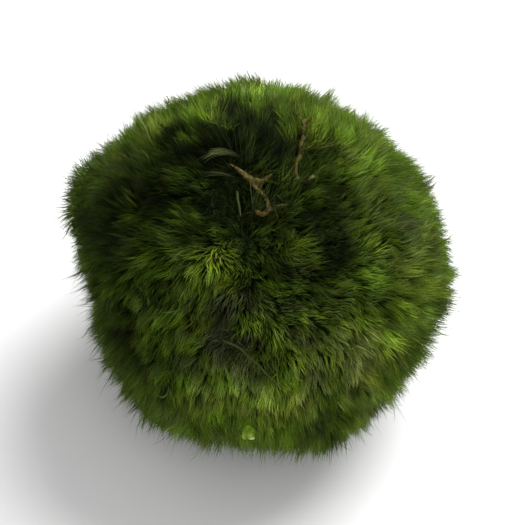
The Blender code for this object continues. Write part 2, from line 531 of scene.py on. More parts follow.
def dot(a, b):
    """The dot product of each pair of rows, as a column."""
    return (a * b).sum(1, keepdims=True)


def along_surface(ways, facing):
    """What is left of each way when the part that goes up or down from the surface is taken out."""
    return ways - facing * dot(ways, facing)


def even_directions(count, rng, jitter=0.6):
    """Directions spread evenly all round, each moved a little at random."""
    step = np.arange(count) + 0.5
    height = 1 - 2 * step / count
    turn = step * math.pi * (3 - math.sqrt(5))
    flat = np.sqrt(1 - height**2)
    directions = np.column_stack((flat * np.cos(turn), flat * np.sin(turn), height))
    spacing = math.sqrt(4 * math.pi / count)
    return unit(directions + rng.uniform(-jitter, jitter, (count, 3)) * spacing)


def drift(points, size, seed, waves=18):
    """Smooth random numbers, of about unit spread, that change over this distance."""
    rng = np.random.default_rng(seed)
    along = unit(rng.normal(size=(waves, 3))) * rng.uniform(0.6, 1.3, (waves, 1))
    phase = rng.uniform(0, 2 * math.pi, waves)
    return np.cos(points @ along.T * (2 * math.pi / size) + phase).sum(1) * math.sqrt(2 / waves)


def drift_vectors(points, size, seed):
    """Three such numbers at each point."""
    return np.column_stack([drift(points, size, seed + axis) for axis in range(3)])


def drifts(points, rows, kind=drift):
    """The sum of the slow changes in these rows."""
    return sum(strength * kind(points, size * MM, seed) for strength, size, seed in rows)


def nearest(points, centres):
    """For each point, the number of the centre nearest to it."""
    tree = KDTree(len(centres))
    for number, centre in enumerate(centres):
        tree.insert(centre, number)
    tree.balance()
    return np.array([tree.find(point)[1] for point in points])


class OuterForm:
    """The ball's outer form, out to the filament tips: where it is and how it faces in any direction."""

    def __init__(self):
        bm = merged_copy(BALL_NODE)
        bmesh.ops.triangulate(bm, faces=bm.faces[:])
        bm.verts.ensure_lookup_table()
        bm.faces.ensure_lookup_table()
        self.points = np.array([vert.co for vert in bm.verts])
        self.normals = np.array([vert.normal for vert in bm.verts])
        self.corners = np.array([[vert.index for vert in face.verts] for face in bm.faces])
        self.tree = BVHTree.FromBMesh(bm)
        bm.free()

    def at(self, directions):
        """The surface's points in these directions from the ball's middle, and its facings there."""
        hits = [self.tree.ray_cast(BALL_MIDDLE, Vector(direction)) for direction in directions]
        points = np.array([hit[0] for hit in hits])
        a, b, c = self.corners[[hit[2] for hit in hits]].T
        first, second = self.points[b] - self.points[a], self.points[c] - self.points[a]
        across = np.cross(first, second)
        area = dot(across, across)
        reach = points - self.points[a]
        share_c = dot(np.cross(first, reach), across) / area
        share_b = dot(np.cross(reach, second), across) / area
        share_a = 1 - share_b - share_c
        facing = self.normals[a] * share_a + self.normals[b] * share_b + self.normals[c] * share_c
        return points, unit(facing)


# ---------------------------------------------------------------- filaments


def share_of(directions, place, spread):
    """1 at a place on the ball, given across, up and toward, fading out beyond its spread."""
    facing = np.clip(directions @ np.array(show_direction(*place)), -1, 1)
    away = np.arccos(facing) * BALL_WIDTH / 2 / MM
    return np.exp(-((away / spread) ** 2))


def growth_and_shade_at(directions, doublings):
    """Brightness, yellowness and silt of the coat. Each filament's own doublings, and the patches' painted
    shade, go into the brightness.
    """
    places = directions * BALL_WIDTH / 2
    wandered = unit(directions + drifts(places, PATCH_EDGES, drift_vectors))
    shaded, plush = share_of(directions, *SHADED), share_of(directions, *PLUSH)
    doublings = doublings + drifts(places, BRIGHTNESS_DRIFT)
    doublings *= 1 + SHADED_CONTRAST * shaded - PLUSH_CALM * plush
    doublings += PLUSH_DOUBLINGS * plush
    yellow = drifts(places, YELLOW_DRIFT) + YELLOW_EVERYWHERE
    silt = drifts(places, SILT_DRIFT)
    for place, spread, brighter, yellower, siltier in PATCHES:
        share = share_of(wandered, place, spread)
        doublings += share * brighter
        yellow += share * yellower
        silt += share * siltier
    return np.column_stack((2.0**doublings, np.clip(yellow, 0, 1), np.clip(silt, 0, 1)))


def combed(points, normals, swirl):
    """The way that the coat lies: away from the crown, round it and down, in slow waves."""
    outward = unit(points - np.array(BALL_MIDDLE))
    crown = np.array([CROWN])
    away = outward * dot(outward, crown) - crown
    away = away / np.maximum(np.linalg.norm(away, axis=1, keepdims=True), CROWN_CORE)
    turning = np.exp(-((np.arccos(np.clip(outward @ crown.T, -1, 1)) / SWIRL_REACH) ** 2))
    flow = away + swirl * turning * np.cross(crown, outward)
    flow += drifts(points, COMB_BENDS, drift_vectors)
    flow[:, 2] -= COMB_DROOP
    return unit(along_surface(flow, normals))


class Locks:
    """Centres that filaments gather towards, each with a lean, a length and a tint of its own."""

    def __init__(self, form, spacing, seed, sway):
        rng = np.random.default_rng(seed)
        count = round(4 * math.pi * (BALL_WIDTH / 2) ** 2 / spacing**2)
        self.points, self.normals = form.at(even_directions(count, rng, LOCK_JITTER))
        self.sway = rng.normal(size=(count, 3)) * sway
        self.length = np.clip(rng.normal(1.0, LOCK_LENGTHS, count), *LOCK_LENGTH_LIMITS)
        self.lean = rng.normal(0.0, LOCK_LEANS, count)
        self.tint = rng.uniform(size=count)
        self.doublings = rng.normal(0.0, LOCK_DOUBLINGS, count)


def press_to_floor(points, rng):
    """Bends what would reach under the floor so that it lies on it, spread a little outwards."""
    lying = rng.uniform(*LYING_HEIGHTS, points.shape[:-1]) * MM
    deeper = np.maximum(lying - points[..., 2], 0.0)
    outward = points[..., :2] / np.maximum(np.linalg.norm(points[..., :2], axis=-1, keepdims=True), MM)
    points[..., :2] += outward * deeper[..., None] * LYING_SPLAY
    points[..., 2] = np.maximum(points[..., 2], lying)
    return points


def curl_over(length, start, end, part):
    """How far up and along a filament has got by this part of it, as it leans over from start to end."""
    turn = end - start
    now = start + turn * part
    up = length * (np.sin(now) - np.sin(start)) / turn
    along = length * (np.cos(start) - np.cos(now)) / turn
    return up, along


def fibre_mesh(name, spines, radii, facing, marks, growth):
    """One mesh of closed, three-sided, pointed filaments.

    spines is filament by stop by place, and its last stop is the tip. radii is filament by stop, without
    the tip. facing is the surface's facing at each root. marks is two numbers a filament, kept with how far
    along it a point lies. growth is three more, the same all along it.
    """
    count, stops, _ = spines.shape
    rings = stops - 1
    heading = np.gradient(spines, axis=1)
    heading /= np.maximum(np.linalg.norm(heading, axis=2, keepdims=True), 1e-12)
    side = np.cross(heading[:, :rings], facing[:, None])
    side /= np.maximum(np.linalg.norm(side, axis=2, keepdims=True), 1e-12)
    other = np.cross(side, heading[:, :rings])
    corners = np.empty((count, rings * 3 + 1, 3))
    for corner in range(3):
        turn = 2 * math.pi * corner / 3 + math.pi / 2
        offset = side * math.cos(turn) + other * math.sin(turn)
        corners[:, corner : rings * 3 : 3] = spines[:, :rings] + offset * radii[:, :, None]
    corners[:, -1] = spines[:, -1]
    quads, tips = [], []
    for ring in range(rings - 1):
        for corner in range(3):
            here, after = ring * 3 + corner, ring * 3 + (corner + 1) % 3
            quads.append((here, after, after + 3, here + 3))
    last = (rings - 1) * 3
    for corner in range(3):
        tips.append((last + corner, last + (corner + 1) % 3, rings * 3))
    tips.append((2, 1, 0))
    mesh = mesh_from_pattern(name, corners, quads, tips)
    along = np.repeat(np.linspace(0, 1, stops), 3)[: rings * 3 + 1]
    values = np.empty((count, len(along), 3), np.float32)
    values[:, :, 0] = along
    values[:, :, 1:] = marks[:, None, :]
    mesh.attributes.new(FIBRE, "FLOAT_VECTOR", "POINT").data.foreach_set("vector", values.ravel())
    growths = np.repeat(growth, len(along), axis=0).astype(np.float32)
    mesh.attributes.new(GROWTH, "FLOAT_VECTOR", "POINT").data.foreach_set("vector", growths.ravel())
    give_each_a_cell(mesh, count, quads, tips, along, rings)
    return mesh


def mesh_from_pattern(name, corners, quads, tips):
    """A mesh that repeats one small pattern of faces over each row of corners."""
    count, each, _ = corners.shape
    base = (np.arange(count) * each)[:, None, None]
    quad_loops = base + np.array(quads, int).reshape(1, -1, 4)
    tip_loops = base + np.array(tips)[None]
    loops = np.concatenate([quad_loops.reshape(count, -1), tip_loops.reshape(count, -1)], axis=1)
    sizes = np.tile(np.array([4] * len(quads) + [3] * len(tips)), count)
    mesh = bpy.data.meshes.new(name)
    mesh.vertices.add(count * each)
    mesh.vertices.foreach_set("co", corners.astype(np.float32).ravel())
    mesh.loops.add(loops.size)
    mesh.loops.foreach_set("vertex_index", loops.astype(np.int32).ravel())
    mesh.polygons.add(len(sizes))
    mesh.polygons.foreach_set("loop_start", np.concatenate(([0], np.cumsum(sizes)[:-1])).astype(np.int32))
    mesh.update(calc_edges=True)
    mesh.validate()
    mesh.shade_smooth()
    return mesh


# The share of a cell's width that stays empty on either side, and how far the middle corner of a root's
# end face is lifted, so that the face has an area there
CELL_GAP = 0.12
ROOT_LIFT = 0.06


def give_each_a_cell(mesh, count, quads, tips, along, rings):
    """Lays each filament in a small upright cell of its own on the map that its colours bake through."""
    columns = math.ceil(math.sqrt(count * 3))
    rows = math.ceil(count / columns)
    number = np.arange(count)
    left = (number % columns) / columns
    low = (number // columns) / rows
    across = np.tile((0.0, 1.0, 0.5), rings)
    across = np.append(across, 0.5)
    cell_u = CELL_GAP + (1 - 2 * CELL_GAP) * across
    cell_v = CELL_GAP / 2 + (1 - CELL_GAP) * along
    pattern = [corner for face in quads + tips for corner in face]
    places = np.column_stack((cell_u[pattern], cell_v[pattern]))
    places[-2, 1] += ROOT_LIFT
    u = left[:, None] + places[None, :, 0] / columns
    v = low[:, None] + places[None, :, 1] / rows
    layer = mesh.uv_layers.new(name="OFBake")
    layer.uv.foreach_set("vector", np.stack((u, v), axis=2).astype(np.float32).ravel())


# How a layer usually grows: what is added to each lean in radians, how far single filaments stray from the
# way that the coat lies, how far they gather, and the most of their length that they lose at random and in
# the hollow. After it, how the other layers differ.
USUAL_HABIT = {"lean_more": 0.0, "spread": 0.14, "pull": 1.0, "shorter": 0.0, "cut": HOLLOW_CUT}
PILE_HABIT = {"lean_more": -0.12, "spread": 0.22, "pull": 0.8, "shorter": 0.42}
STRAY_HABIT = {"lean_more": -0.1, "spread": 0.5, "pull": 0.1}
CROSSING_HABIT = {"lean_more": 0.1, "spread": 0.7, "shorter": 0.4, "cut": 0.15}


class Coat:
    """The ball's coat of filaments: one pattern of locks and wisps that every layer follows."""

    def __init__(self, form, fur):
        self.form = form
        self.fur = fur
        self.locks = Locks(form, fur.lock_spacing, 101, LOCK_SWAY)
        self.wisps = Locks(form, fur.wisp_spacing, 202, WISP_SWAY)
        self.wisps.lock = nearest(self.wisps.points, self.locks.points)

    def grow(self, directions, seed, length, radius, rings, **habit):
        """A layer: spines, radii, facings, marks and growths of a filament in each of these directions.

        habit changes how this layer grows from USUAL_HABIT.
        """
        habit = {**USUAL_HABIT, **habit}
        rng = np.random.default_rng(seed)
        fur = self.fur
        count = len(directions)
        over, facing = self.form.at(directions)
        wisp = nearest(over, self.wisps.points)
        lock = self.wisps.lock[wisp]
        swept = np.clip(sum(share_of(directions, *stretch) for stretch in SWEPT), 0, 1)
        plush = share_of(directions, *PLUSH)
        comb = combed(over, facing, fur.swirl)
        comb += self.locks.sway[lock] + self.wisps.sway[wisp] + rng.normal(size=(count, 3)) * habit["spread"]
        comb = unit(along_surface(comb, facing))
        rise = sum(share_of(directions, place, reach) * rise for place, reach, rise in RISES) * MM
        over = over + facing * (rise + plush * PLUSH_CUT * fur.tuft_length * PLUSH_RAISED)[:, None]
        size = self.locks.length[lock] * self.wisps.length[wisp] * rng.normal(1.0, STRAND_LENGTHS, count)
        size *= length * (1 + drifts(over, MOUNDS) + SWEPT_EXTRA * swept)
        size *= (1 - habit["cut"] * share_of(directions, HOLLOW, HOLLOW_REACH)) * (1 - PLUSH_CUT * plush)
        size *= 1 - rng.uniform(0, 1, count) * habit["shorter"]
        lean = self.locks.lean[lock] + self.wisps.lean[wisp] + rng.normal(0, STRAND_LEANS, count)
        lean += habit["lean_more"]
        start = fur.root_lean + lean * ROOT_LEAN_SHARE
        end = fur.tip_lean + (fur.swept_lean - fur.tip_lean) * swept + PLUSH_LEAN * plush + lean
        to_wisp = along_surface(self.wisps.points[wisp] - over, facing)
        to_lock = along_surface(self.locks.points[lock] - over, facing)
        gather = (to_wisp * fur.wisp_pull + to_lock * fur.lock_pull) * habit["pull"]
        wobble = rng.normal(size=(count, 3)) * STRAND_WOBBLE * length
        roots = over - facing * fur.felt_depth
        spines = np.empty((count, rings + 1, 3))
        for stop in range(rings + 1):
            part = stop / rings
            up, along = curl_over(size, start, end, part)
            spines[:, stop] = roots + facing * up[:, None] + comb * along[:, None]
            spines[:, stop] += gather * part**GATHER_CURVE + wobble * math.sin(math.pi * part)
        spines = press_to_floor(spines, rng)
        taper = np.array([1.0 - TAPER * (stop / rings) ** 2 for stop in range(rings)])
        radii = np.outer(radius * rng.uniform(*THICKNESSES, count), taper)
        tint = self.locks.tint[lock] * LOCK_TINT_SHARE + self.wisps.tint[wisp] * (1 - LOCK_TINT_SHARE)
        marks = np.column_stack((rng.uniform(size=count), tint))
        border = np.clip(np.linalg.norm(to_lock, axis=1) / fur.lock_spacing, 0, 1)
        doublings = self.locks.doublings[lock] + self.wisps.doublings[wisp] - LOCK_EDGE_SHADE * border**2
        return spines, radii, facing, marks, growth_and_shade_at(directions, doublings)


def on_show_side(form, across, up, height):
    """A point this high over the coat at a place on the show side, all in millimetres."""
    radius = BALL_WIDTH / 2 / MM
    toward = math.sqrt(radius**2 - across**2 - up**2)
    point, facing = form.at([show_direction(across, up, toward)])
    return point[0] + facing[0] * height * MM


def smooth_route(stops, count):
    """This many places, evenly through a smooth curve by the stops."""
    ends = np.array([stops[0], *stops, stops[-1]])
    places = []
    for step in np.linspace(0, len(stops) - 1, count):
        number = min(int(step), len(stops) - 2)
        part = step - number
        before, start, end, after = ends[number : number + 4]
        bend = (2 * before - 5 * start + 4 * end - after) * part**2
        bend += (3 * start - 3 * end + after - before) * part**3
        places.append(start + ((end - before) * part + bend) / 2)
    return np.array(places)


def pale_wisps(form):
    """Bundles of bleached filaments that lie on the coat, as a layer.

    Each filament follows its bundle's route from near one end to near the other, and they fan out along it.
    """
    rng = np.random.default_rng(77)
    layers = []
    for stops, count, spread, tone in PALE_WISPS:
        route = smooth_route([on_show_side(form, *stop) for stop in stops], BUNDLE_STEPS)
        first = rng.integers(0, BUNDLE_STEPS // 4 + 1, count)
        last = rng.integers(BUNDLE_STEPS * 2 // 3 + 1, BUNDLE_STEPS, count)
        picked = np.linspace(first, last, STRAND_STOPS, axis=1).round().astype(int)
        fan = np.linspace(0.5, 1.3, STRAND_STOPS)[None, :, None]
        offset = rng.normal(0, spread * MM, (count, 1, 3)) * fan
        spines = route[picked] + offset + rng.normal(0, 0.02 * MM, (count, STRAND_STOPS, 3))
        radii = np.outer(rng.uniform(0.025, 0.045, count) * MM, (0.7, 1.0, 1.0, 0.8, 0.5))
        facing = unit(spines[:, 0] - np.array(BALL_MIDDLE))
        marks = np.column_stack((np.full(count, 1.0), rng.uniform(size=count)))
        tones = rng.uniform(0.25, 0.8, count) * tone
        growth = np.column_stack((tones, np.full(count, 0.25), np.full(count, 0.5)))
        layers.append((spines, radii, facing, marks, growth))
    return [np.concatenate(parts) for parts in zip(*layers)]


def pick(layer, chosen):
    """The chosen filaments of a layer."""
    return [part[chosen] for part in layer]


# ---------------------------------------------------------------- materials


class Recipe:
    """A short way to write a material's nodes."""

    def __init__(self, name):
        self.material = bpy.data.materials.new(name)
        self.material.use_nodes = True
        self.tree = self.material.node_tree
        self.shader = self.tree.nodes["Principled BSDF"]
        self.place = self.node("ShaderNodeTexCoord").outputs["Object"]

    def node(self, kind, **settings):
        """A new node of this kind with these settings."""
        made = self.tree.nodes.new(kind)
        for key, value in settings.items():
            setattr(made, key, value)
        return made

    def feed(self, socket, value):
        """Links a socket to another one, or sets it to a number or colour."""
        if isinstance(value, bpy.types.NodeSocket):
            self.tree.links.new(value, socket)
        else:
            socket.default_value = value

    def sum(self, operation, a, b):
        """Two values taken together by a Math node."""
        made = self.node("ShaderNodeMath", operation=operation)
        self.feed(made.inputs[0], a)
        self.feed(made.inputs[1], b)
        return made.outputs[0]

    def ramp(self, value, low, high, to_low=0.0, to_high=1.0):
        """value, from low to high, as a smooth step from to_low to to_high."""
        made = self.node("ShaderNodeMapRange", interpolation_type="SMOOTHSTEP")
        for socket, number in zip(made.inputs[:5], (value, low, high, to_low, to_high)):
            self.feed(socket, number)
        return made.outputs[0]

    def mix(self, share, a, b):
        """Colour a, turned to b by this share."""
        made = self.node("ShaderNodeMix", data_type="RGBA")
        self.feed(made.inputs[0], share)
        for socket, colour in zip((made.inputs[6], made.inputs[7]), (a, b)):
            self.feed(socket, colour if isinstance(colour, bpy.types.NodeSocket) else (*colour, 1.0))
        return made.outputs[2]

    def speckle(self, size, detail=2.0, stretch=None, seed=0.0):
        """Noise whose blots are about this size, in metres."""
        where = self.place
        if stretch is not None or seed:
            mapping = self.node("ShaderNodeMapping")
            self.feed(mapping.inputs["Vector"], self.place)
            mapping.inputs["Scale"].default_value = stretch or (1, 1, 1)
            mapping.inputs["Location"].default_value = (seed, seed * 0.7, -seed)
            where = mapping.outputs[0]
        made = self.node("ShaderNodeTexNoise")
        self.feed(made.inputs["Vector"], where)
        made.inputs["Scale"].default_value = 1 / size
        made.inputs["Detail"].default_value = detail
        return made.outputs["Fac"]

    def near(self, place, reach):
        """1 at a place, fading out to 0 at this distance from it."""
        away = self.node("ShaderNodeVectorMath", operation="DISTANCE")
        self.feed(away.inputs[0], self.place)
        away.inputs[1].default_value = place
        return self.ramp(away.outputs["Value"], reach, 0.0)

    def scale(self, colour, amount):
        """A colour made this many times as bright."""
        made = self.node("ShaderNodeVectorMath", operation="SCALE")
        self.feed(made.inputs[0], colour)
        self.feed(made.inputs["Scale"], amount)
        return made.outputs[0]

    def parts(self, attribute):
        """The three numbers of a vector attribute of the mesh."""
        read = self.node("ShaderNodeAttribute", attribute_name=attribute)
        split = self.node("ShaderNodeSeparateXYZ")
        self.feed(split.inputs[0], read.outputs["Vector"])
        return split.outputs

    def bump(self, height, distance, strength):
        """Raises the surface by a pattern, up to this distance."""
        made = self.node("ShaderNodeBump")
        self.feed(made.inputs["Height"], height)
        made.inputs["Distance"].default_value = distance
        made.inputs["Strength"].default_value = strength
        self.feed(self.shader.inputs["Normal"], made.outputs[0])

    def finish(self, colour, roughness, specular):
        """Sets the shader's main inputs, and gives the material."""
        self.feed(self.shader.inputs["Base Color"], colour)
        self.feed(self.shader.inputs["Roughness"], roughness)
        self.shader.inputs["Specular IOR Level"].default_value = specular
        return self.material


def filament_material(colours):
    """Moss filaments: darkened towards the root by painted shade, in their growth colour at the tip, with
    patches and streaks of dull growth.
    """
    recipe = Recipe("moss_filaments")
    along, chance, tint = recipe.parts(FIBRE)
    tone, yellow, silt = recipe.parts(GROWTH)
    growth = recipe.mix(recipe.ramp(tint, 0.2, 0.9), colours.moss, colours.bright)
    growth = recipe.mix(yellow, growth, colours.olive)
    growth = recipe.mix(silt, growth, colours.grey)
    growth = recipe.mix(recipe.ramp(chance, 0.94, 0.98, 0.0, 0.5), growth, colours.pale)
    vary = recipe.ramp(chance, 0.0, 0.94, 0.82, 1.18)
    # The tone brings in the coat's brightness, with the painted shade of the dark patches
    growth = recipe.scale(growth, recipe.sum("MULTIPLY", tone, vary))
    # Towards the root the colour turns to the deep green: painted shade among the filaments
    colour = recipe.mix(recipe.ramp(along, -0.15, 0.65), colours.deep, growth)
    grain = recipe.speckle(0.25 * MM, 2.0)
    recipe.bump(grain, 0.02 * MM, 0.4)
    return recipe.finish(colour, recipe.ramp(grain, 0.3, 0.7, 0.55, 0.8), 0.06)


def felt_material(colours):
    """Packed filaments under the coat: nearly black green, which is mostly painted shade, with a fine tangle.
    """
    recipe = Recipe("moss_felt")
    tangle = recipe.speckle(0.35 * MM, 4.0, (1.0, 3.0, 1.0))
    cross = recipe.speckle(0.3 * MM, 4.0, (3.0, 1.0, 1.4), 0.37)
    weave = recipe.sum("MULTIPLY", tangle, cross)
    colour = recipe.mix(recipe.ramp(weave, 0.15, 0.42), colours.deep, colours.moss)
    # Turned further to the deep green: painted shade under the coat
    colour = recipe.mix(0.55, colour, colours.deep)
    recipe.bump(weave, 0.25 * MM, 0.7)
    roughness = recipe.ramp(weave, 0.1, 0.4, 0.9, 0.7)
    return recipe.finish(colour, roughness, 0.15)


def bark_material(colours):
    """Thin peeling bark: ochre where it is worn, dark and stained between, with fine wrinkles."""
    recipe = Recipe("rootlet_bark")
    stains = recipe.speckle(1.5 * MM, 3.0)
    wear = recipe.speckle(0.45 * MM, 4.0, None, 0.21)
    rust = recipe.speckle(1.0 * MM, 2.0, None, 0.77)
    wrinkles = recipe.speckle(0.07 * MM, 3.0, (1.0, 1.6, 1.0), 0.11)
    dark = tuple(part * 0.25 for part in colours.bark)
    worn = tuple(part * 2.5 for part in colours.bark)
    colour = recipe.mix(recipe.ramp(rust, 0.45, 0.7, 0.0, 0.7), colours.bark, colours.rust)
    colour = recipe.mix(recipe.ramp(stains, 0.38, 0.55), dark, colour)
    colour = recipe.mix(recipe.ramp(wear, 0.50, 0.68, 0.0, 0.8), colour, worn)
    colour = recipe.mix(recipe.ramp(wrinkles, 0.35, 0.6, 0.55, 0.0), colour, dark)
    height = recipe.sum("ADD", recipe.sum("MULTIPLY", wear, 1.5), wrinkles)
    recipe.bump(height, 0.06 * MM, 0.8)
    return recipe.finish(colour, recipe.ramp(wear, 0.3, 0.7, 0.8, 0.55), 0.1)


def straw_material(colours):
    """Dry stalks, stained green along them, and yellow at the low end of the thread."""
    recipe = Recipe("dry_straw")
    bands = recipe.speckle(0.9 * MM, 2.0)
    streaks = recipe.speckle(0.12 * MM, 3.0, (1.0, 2.5, 2.5), 0.53)
    green = tuple(part * share for part, share in zip(colours.straw, (0.5, 0.75, 0.35)))
    dry = tuple(part * 2.1 for part in colours.straw)
    colour = recipe.mix(recipe.ramp(bands, 0.4, 0.65, 0.0, 0.85), colours.straw, green)
    colour = recipe.mix(recipe.ramp(streaks, 0.5, 0.75, 0.0, 0.7), colour, dry)
    thread_low, thread_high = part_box("straw_thread")
    tip = (thread_high.x, thread_low.y, thread_low.z)
    colour = recipe.mix(recipe.near(tip, 1.6 * MM), colour, colours.olive)
    recipe.bump(streaks, 0.05 * MM, 0.7)
    return recipe.finish(colour, recipe.ramp(streaks, 0.3, 0.7, 0.75, 0.55), 0.06)


def leaf_material(colours, middle):
    """Thin fresh lobes: lime, deep green in blotches and cells from a shaded copy of it as painted shade,
    with a painted highlight on the pale low right lip, fainter at the left lobe's end, and a little glossy.
    """
    recipe = Recipe("lime_leaf_skin")
    cells = recipe.speckle(0.14 * MM, 3.0)
    blush = recipe.speckle(0.6 * MM, 2.0, None, 0.4)
    shaded = tuple(part * 0.55 for part in colours.lime)
    right, left = (middle + (ACROSS * across + UP * up) * MM for across, up in (LEAF_LIP_HIGHLIGHT, LEAF_LEFT_HIGHLIGHT))
    # Blotches of the darker, shaded copy of the lime: painted shade
    colour = recipe.mix(recipe.ramp(blush, 0.35, 0.65), shaded, colours.lime)
    # A fainter painted highlight at the left lobe's end
    colour = recipe.mix(recipe.sum("MULTIPLY", recipe.near(left, 0.55 * MM), 0.4), colour, LEAF_HIGHLIGHT_COLOUR)
    # The painted highlight on the pale low right lip
    colour = recipe.mix(recipe.near(right, 0.78 * MM), colour, LEAF_HIGHLIGHT_COLOUR)
    colour = recipe.mix(recipe.ramp(cells, 0.35, 0.6, 0.3, 0.0), colour, shaded)
    recipe.bump(cells, 0.03 * MM, 0.6)
    recipe.shader.inputs["Coat Weight"].default_value = 0.05
    recipe.shader.inputs["Coat Roughness"].default_value = 0.2
    return recipe.finish(colour, recipe.ramp(cells, 0.3, 0.7, 0.5, 0.35), 0.08)


# ---------------------------------------------------------------- operators


class MOSS_OT_felt(bpy.types.Operator):
    """Make the dense felt that the filaments grow out of"""

    bl_idname = "moss.felt"
    bl_label = "Felt"

    def execute(self, context):
        fur = context.scene.moss_fur
        bm = merged_copy(BALL_NODE)
        for vert in bm.verts:
            vert.co -= vert.normal * fur.felt_depth
        along = {"use_axis_x": True, "use_axis_y": True, "use_axis_z": True}
        for _ in range(FELT_SMOOTHINGS):
            bmesh.ops.smooth_vert(bm, verts=bm.verts[:], factor=0.5, **along)
        bmesh.ops.subdivide_edges(bm, edges=bm.edges[:], cuts=1, use_grid_fill=True, smooth=0.6)
        bm.normal_update()
        for vert in bm.verts:
            lumps = noise.fractal(vert.co / FELT_LUMPS, 0.8, 2.0, 3)
            vert.co += vert.normal * lumps * FELT_LUMP_HEIGHT
        bmesh.ops.triangulate(bm, faces=bm.faces[:])
        material = felt_material(context.scene.moss_colours)
        add_piece("moss_felt", finished_mesh("moss_felt", bm), material, [BALL_NODE])
        return {"FINISHED"}


class MOSS_OT_coat(bpy.types.Operator):
    """Grow the long coat in four quarters, with the short pile under it and the loose filaments over it"""

    bl_idname = "moss.coat"
    bl_label = "Coat"

    def execute(self, context):
        fur = context.scene.moss_fur
        material = filament_material(context.scene.moss_colours)
        coat = Coat(OuterForm(), fur)
        rng = np.random.default_rng(3)
        around = ("right", "back", "left", "front")
        long, thin = fur.tuft_length, fur.filament_radius
        tufts = even_directions(fur.tuft_count, rng)
        self.add_around("coat", coat.grow(tufts, 7, long, thin, 2), around, material)
        pile = even_directions(fur.pile_count, rng)
        self.add_around("pile", coat.grow(pile, 13, long, thin, 1, **PILE_HABIT), around, material)
        loose = even_directions(fur.stray_count, rng)
        strays = coat.grow(loose, 19, long * STRAY_SHARE, thin * STRAY_THINNESS, 3, **STRAY_HABIT)
        self.add_around("strays", strays, ("all",), material)
        beside = self.directions_by_scraps(fur.crossing_count, rng)
        crossers = coat.grow(beside, 23, long * CROSSING_SHARE, thin, 3, **CROSSING_HABIT)
        self.add_around("crossers", crossers, ("scraps",), material)
        wisps = pale_wisps(coat.form)
        add_piece("pale_wisps", fibre_mesh("pale_wisps", *wisps), material, [BALL_NODE])
        return {"FINISHED"}

    def directions_by_scraps(self, count, rng):
        """Directions to places beside the scraps, from which filaments lean over them."""
        meshes = [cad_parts[node].data for node in HELD_SCRAPS]
        places = np.concatenate([[vert.co for vert in mesh.vertices] for mesh in meshes])
        beside = places[rng.integers(len(places), size=count)] + rng.normal(0, 0.7 * MM, (count, 3))
        return unit(beside - np.array(BALL_MIDDLE))

    def add_around(self, name, layer, sides, material):
        """Adds a layer as a piece for each of these sides, which share out a turn about the upright axis."""
        roots = layer[0][:, 0]
        turn = np.arctan2(roots[:, 1], roots[:, 0]) / (2 * math.pi)
        part = np.floor((turn + 0.5 / len(sides)) * len(sides)).astype(int) % len(sides)
        for number, side in enumerate(sides):
            piece = f"{name}_{side}"
            add_piece(piece, fibre_mesh(piece, *pick(layer, part == number)), material, [BALL_NODE])


def refined_scrap(name, node, material, roughening, grain, dip):
    """A scrap at its own place, sunk unevenly among the tips, with a finer and rougher skin.

    roughening is the height of the skin's lumps, grain their size, and dip how much deeper it lies in places.
    """
    bm = merged_copy(node)
    low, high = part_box(node)
    outward = ((low + high) / 2 - BALL_MIDDLE).normalized()
    bmesh.ops.translate(bm, verts=bm.verts[:], vec=-outward * SCRAP_SINK[node] * MM)
    bmesh.ops.subdivide_edges(bm, edges=bm.edges[:], cuts=1, use_grid_fill=True, smooth=0.8)
    bm.normal_update()
    for vert in bm.verts:
        lumps = noise.fractal(vert.co / grain, 0.9, 2.0, 3) + 0.8 * noise.noise(vert.co / (grain * 3))
        deeper = 0.3 + noise.noise(vert.co / DIP_SIZE)
        vert.co += vert.normal * lumps * roughening - outward * deeper * dip
    bmesh.ops.triangulate(bm, faces=bm.faces[:])
    return add_piece(name, finished_mesh(name, bm), material, [node])


def root_hairs(piece, count, length):
    """The mesh of the hair roots on a rootlet's piece."""
    rng = np.random.default_rng(len(piece.name))
    mesh = piece.data
    chosen = rng.choice(len(mesh.vertices), count, replace=False)
    roots = np.array([mesh.vertices[int(number)].co for number in chosen])
    normals = np.array([mesh.vertices[int(number)].normal for number in chosen])
    outward = unit(roots - np.array(BALL_MIDDLE))
    heading = unit(normals + rng.normal(size=(count, 3)) * 0.5 - outward * 0.35)
    bend = rng.normal(size=(count, 3)) * 0.35 - outward * 0.3
    size = (length * rng.uniform(0.4, 1.0, count))[:, None]
    stops = np.linspace(0, 1, 4)
    inside = roots - normals * 0.03 * MM
    spines = np.stack([inside + (heading * stop + bend * stop**2) * size for stop in stops], axis=1)
    radii = np.outer(rng.uniform(0.022, 0.04, count) * MM, (1.0, 0.85, 0.6))
    marks = rng.uniform(size=(count, 2))
    return fibre_mesh(piece.name + "_hairs", spines, radii, outward, marks, np.zeros((count, 3)))


class MOSS_OT_rootlets(bpy.types.Operator):
    """Roughen the two rootlets and give them bark"""

    bl_idname = "moss.rootlets"
    bl_label = "Rootlets"

    def execute(self, context):
        bark = bark_material(context.scene.moss_colours)
        for node in ("forked_rootlet", "curved_rootlet"):
            piece = refined_scrap(
                node + "_bark", node, bark, roughening=0.12 * MM, grain=0.45 * MM, dip=0.6 * MM
            )
            hairs = root_hairs(piece, count=46, length=1.5 * MM)
            add_piece(node + "_hairs", hairs, bark, [node])
        return {"FINISHED"}


class MOSS_OT_straws(bpy.types.Operator):
    """Roughen the straws"""

    bl_idname = "moss.straws"
    bl_label = "Straws"

    def execute(self, context):
        straw = straw_material(context.scene.moss_colours)
        for node in ("straw_thread", "short_straw"):
            refined_scrap(
                node + "_stalk", node, straw, roughening=0.04 * MM, grain=0.4 * MM, dip=0.3 * MM
            )
        return {"FINISHED"}


